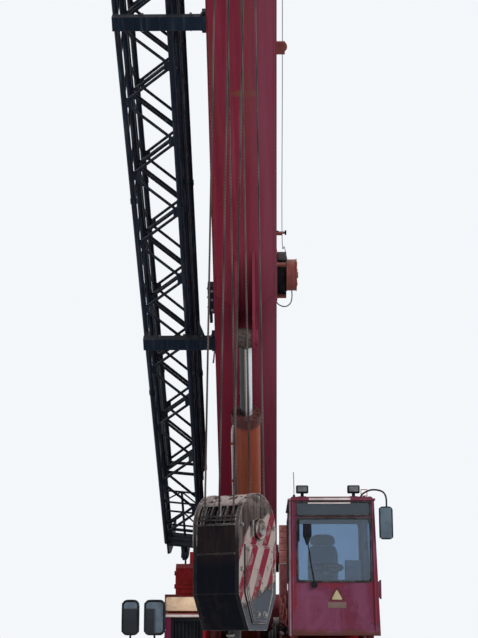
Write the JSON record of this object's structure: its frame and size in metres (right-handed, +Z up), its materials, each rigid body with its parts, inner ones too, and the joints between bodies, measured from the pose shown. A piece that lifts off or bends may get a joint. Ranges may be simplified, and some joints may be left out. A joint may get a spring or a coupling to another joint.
{
  "type": "crawler crane",
  "caption": "Crawler crane with a telescopic box boom, stowed lattice jib, hook block, operator's cab and slewing upper works on tracks.",
  "frame": {"origin": "the slewing axis at ground level", "axes": "-Y the way the boom and tracks point, +X the machine's left, where the cab is, +Z up"},
  "size_m": [3.24, 10.8065, 11.0839],
  "materials": {
    "body_red": "worn gloss",
    "boom_red": "worn gloss",
    "cab_red": "faded",
    "cylinder_orange": "rusty",
    "near_black": "matt",
    "block_black": "worn",
    "track_steel": "worn",
    "bare_steel": "oily",
    "cast_red": "painted",
    "cast_grey": "rough",
    "rod_chrome": "polished",
    "clear_glass": "clear",
    "trim_black": "matt",
    "seat_cloth": "woven",
    "pad_nylon": "waxy",
    "rope_steel": "greased"
  },
  "bodies": {
    "undercarriage": {"car_body": "body_red", "slewing_ring": "bare_steel", "track_frame_left": "body_red", "track_frame_right": "body_red", "track_left": "track_steel", "track_right": "track_steel", "track_rollers": "bare_steel", "sprockets": "bare_steel", "idlers": "bare_steel", "final_drives": "cast_red"},
    "upper": {"turntable_frame": "body_red", "boom_pins": "bare_steel", "deck": "body_red", "counterweight": "cast_red", "engine_hood": "body_red", "engine": "cast_grey", "side_tank": "body_red", "front_housing": "body_red", "front_grille": "trim_black", "side_mirrors": "trim_black", "winch_mounts": "bare_steel", "cab_shell": "cab_red", "cab_glass": "clear_glass", "seat": "seat_cloth", "steering": "trim_black", "cab_fittings": "trim_black"},
    "door": {"cab_door": "cab_red", "cab_door_glass": "clear_glass"},
    "winch": {"winch_drum": "rope_steel"},
    "boom": {"boom_base": "boom_red", "wear_pads": "pad_nylon", "jib": "near_black", "jib_extension": "near_black", "jib_brackets": "near_black", "cable_reel": "near_black"},
    "middle_section": {"boom_middle": "boom_red", "inner_wear_pads": "pad_nylon"},
    "inner_section": {"boom_inner": "boom_red", "boom_head": "boom_red", "head_sheaves": "cast_grey"},
    "barrel": {"lift_barrel": "cylinder_orange"},
    "rod": {"lift_rod": "rod_chrome"},
    "falls": {"hoist_falls": "rope_steel"},
    "block": {"block_cheeks": "block_black", "block_sheaves": "cast_grey"},
    "hook": {"crane_hook": "bare_steel"}
  },
  "joints": [
    {"name": "slew", "type": "hinge", "parent": "undercarriage", "child": "upper", "pos_m": [0, 0, 1.1], "axis": [0, 0, 1], "continuous": true},
    {"name": "boom_luff", "type": "hinge", "parent": "upper", "child": "boom", "pos_m": [0, 1.2, 2.6], "axis": [-1, 0, 0], "range_deg": [-45, 35]},
    {"name": "lift_barrel_tilt", "type": "hinge", "parent": "upper", "child": "barrel", "pos_m": [0, 0.75, 1.65], "axis": [-1, 0, 0], "range_deg": [-42.5, 33.5]},
    {"name": "lift_rod_slide", "type": "slide", "parent": "barrel", "child": "rod", "axis": [0, -0.6845, 0.729], "range_m": [-0.75, 0.6]},
    {"name": "middle_section_slide", "type": "slide", "parent": "boom", "child": "middle_section", "axis": [0, -0.7071, 0.7071], "range_m": [0, 7]},
    {"name": "inner_section_slide", "type": "slide", "parent": "middle_section", "child": "inner_section", "axis": [0, -0.7071, 0.7071], "range_m": [0, 7]},
    {"name": "falls_plumb", "type": "hinge", "parent": "inner_section", "child": "falls", "pos_m": [0, -7.12265, 10.04583], "axis": [-1, 0, 0], "range_deg": [-35, 45]},
    {"name": "hoist", "type": "slide", "parent": "falls", "child": "block", "axis": [0, 0, -1], "range_m": [-6.9, 1.2], "deforming": ["hoist_falls"]},
    {"name": "hook_swivel", "type": "hinge", "parent": "block", "child": "hook", "pos_m": [0, -7.12265, 1.665], "axis": [0, 0, 1], "continuous": true},
    {"name": "winch_turn", "type": "hinge", "parent": "upper", "child": "winch", "pos_m": [0, 2.05, 1.68], "axis": [1, 0, 0], "continuous": true},
    {"name": "cab_door_hinge", "type": "hinge", "parent": "upper", "child": "door", "pos_m": [1.51, -0.906, 2.3], "axis": [0, 0, 1], "range_deg": [0, 85]}
  ],
  "couplings": [
    {"joint": "lift_barrel_tilt", "follows": "boom_luff", "ratio": 0.935},
    {"joint": "lift_rod_slide", "follows": "boom_luff", "m_per_rad": 0.9275},
    {"joint": "inner_section_slide", "follows": "middle_section_slide", "ratio": 1},
    {"joint": "falls_plumb", "follows": "boom_luff", "ratio": -1}
  ]
}
